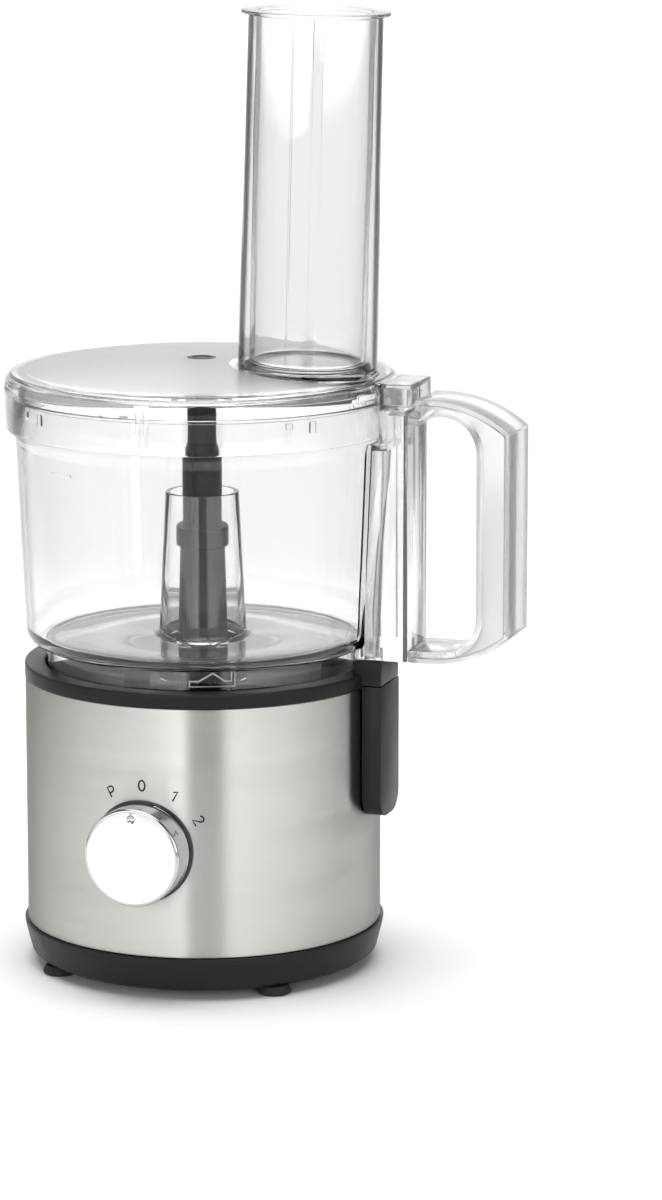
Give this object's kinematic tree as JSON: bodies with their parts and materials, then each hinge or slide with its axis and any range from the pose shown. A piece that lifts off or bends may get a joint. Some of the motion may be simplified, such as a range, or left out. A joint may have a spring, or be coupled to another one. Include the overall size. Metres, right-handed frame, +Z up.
{
  "type": "food processor",
  "caption": "Compact food processor: round steel motor base with a front knob, clear handled bowl, clear lid with a tall feed tube and a hollow pusher.",
  "frame": {"origin": "centre of the motor base's flat underside, on the bowl's axis", "axes": "+Z up along the bowl's axis, -Y to the front with the knob, +X to the handle"},
  "size_m": [0.2359, 0.1833, 0.4317],
  "materials": {
    "housing_black": "black moulded plastic, fine satin grain",
    "collar_black": "black moulded plastic, fine satin grain",
    "pillar_black": "black moulded plastic, fine satin grain",
    "sleeve_steel": "stainless steel brushed round the body",
    "knob_chrome": "bright chrome-plated plastic",
    "bezel_black": "black plastic ring",
    "knob_shaft_steel": "turned steel",
    "foot_rubber": "soft black rubber",
    "gland_rubber": "black rubber bush",
    "screw_steel": "zinc-plated steel",
    "plate_steel": "pressed sheet steel",
    "cast_grey": "die-cast aluminium",
    "bearing_bronze": "sintered bronze",
    "lamination_steel": "stacked electrical steel",
    "winding_copper": "varnished copper wire",
    "shaft_steel": "ground steel",
    "pulley_black": "glass-filled black plastic",
    "belt_rubber": "ribbed rubber belt",
    "brush_brass": "brass sheet",
    "brush_carbon": "pressed carbon",
    "switch_grey": "dark grey switch body",
    "plunger_white": "white acetal",
    "spring_steel": "spring wire",
    "coupling_grey": "grey nylon",
    "axle_grey": "dark grey satin plastic",
    "bush_rubber": "black soft bush",
    "bowl_clear": "clear glossy plastic, hollow wall",
    "handle_clear": "clear glossy plastic",
    "rod_clear": "clear plastic",
    "lid_clear": "clear glossy plastic",
    "pusher_clear": "clear plastic with a faint violet tint",
    "bearing_black": "dark plastic plug"
  },
  "bodies": {
    "base": {"lower_housing": "housing_black", "steel_sleeve": "sleeve_steel", "top_housing": "collar_black", "pillar_cover": "pillar_black", "knob_bezel": "bezel_black", "cord_gland": "gland_rubber", "foot_1": "foot_rubber", "foot_2": "foot_rubber", "foot_3": "foot_rubber", "foot_4": "foot_rubber", "base_screw_1": "screw_steel", "base_screw_2": "screw_steel", "base_screw_3": "screw_steel", "base_screw_4": "screw_steel", "motor_plate": "plate_steel", "spindle_housing": "cast_grey", "spindle_bearing_lower": "bearing_bronze", "spindle_bearing_upper": "bearing_bronze", "drive_belt": "belt_rubber", "motor_stator": "lamination_steel", "field_coil_left": "winding_copper", "field_coil_right": "winding_copper", "motor_bracket_lower": "cast_grey", "motor_bracket_upper": "cast_grey", "motor_bearing_lower": "bearing_bronze", "motor_bearing_upper": "bearing_bronze", "brush_holder_left": "brush_brass", "brush_holder_right": "brush_brass", "carbon_brush_left": "brush_carbon", "carbon_brush_right": "brush_carbon", "rotary_switch": "switch_grey", "switch_bracket": "plate_steel", "interlock_switch": "switch_grey", "plunger_spring": "spring_steel"},
    "rotor": {"rotor_shaft": "shaft_steel", "armature_core": "lamination_steel", "armature_winding_lower": "winding_copper", "armature_winding_upper": "winding_copper", "commutator": "winding_copper", "cooling_fan": "pulley_black", "motor_pulley": "shaft_steel"},
    "spindle": {"drive_spindle": "shaft_steel", "spindle_pulley": "pulley_black", "drive_coupling": "coupling_grey", "drive_axle": "axle_grey"},
    "knob": {"knob": "knob_chrome", "knob_shaft": "knob_shaft_steel"},
    "plunger": {"interlock_plunger": "plunger_white"},
    "bowl_guide": {"chimney_bush": "bush_rubber"},
    "bowl": {"bowl": "bowl_clear", "handle_frame": "handle_clear", "handle_cover": "handle_clear"},
    "rod": {"interlock_rod": "rod_clear"},
    "lid_guide": {"lid_bearing": "bearing_black"},
    "lid": {"lid": "lid_clear"},
    "pusher": {"pusher": "pusher_clear"}
  },
  "joints": [
    {"name": "rotor_spin", "type": "hinge", "parent": "base", "child": "rotor", "pos_m": [0, 0.042, 0.0075], "axis": [0, 0, 1], "continuous": true},
    {"name": "spindle_spin", "type": "hinge", "parent": "base", "child": "spindle", "pos_m": [0, 0, 0.006], "axis": [0, 0, 1], "continuous": true},
    {"name": "knob_turn", "type": "hinge", "parent": "base", "child": "knob", "pos_m": [0, 0, 0.0637], "axis": [0, 1, 0], "range_deg": [-30, 60]},
    {"name": "bowl_lift", "type": "slide", "parent": "base", "child": "bowl_guide", "axis": [0, 0, 1], "range_m": [0, 0.16]},
    {"name": "bowl_turn", "type": "hinge", "parent": "bowl_guide", "child": "bowl", "pos_m": [0, 0, 0.131], "axis": [0, 0, 1], "range_deg": [0, 30]},
    {"name": "lid_lift", "type": "slide", "parent": "bowl", "child": "lid_guide", "axis": [0, 0, 1], "range_m": [0, 0.06]},
    {"name": "lid_turn", "type": "hinge", "parent": "lid_guide", "child": "lid", "pos_m": [0, 0, 0.263], "axis": [0, 0, 1], "range_deg": [0, 20]},
    {"name": "pusher_slide", "type": "slide", "parent": "lid", "child": "pusher", "axis": [0.0267, 0, 0.9996], "range_m": [0, 0.16]},
    {"name": "rod_slide", "type": "slide", "parent": "bowl", "child": "rod", "axis": [0, 0, 1], "range_m": [0, 0.004]},
    {"name": "plunger_slide", "type": "slide", "parent": "base", "child": "plunger", "axis": [0, 0, 1], "range_m": [0, 0.004], "deforming": ["plunger_spring"]}
  ],
  "couplings": [
    {"joint": "spindle_spin", "follows": "rotor_spin", "ratio": 0.2},
    {"joint": "rod_slide", "follows": "lid_turn", "m_per_rad": 0.011402},
    {"joint": "plunger_slide", "follows": "lid_turn", "m_per_rad": 0.011402}
  ]
}
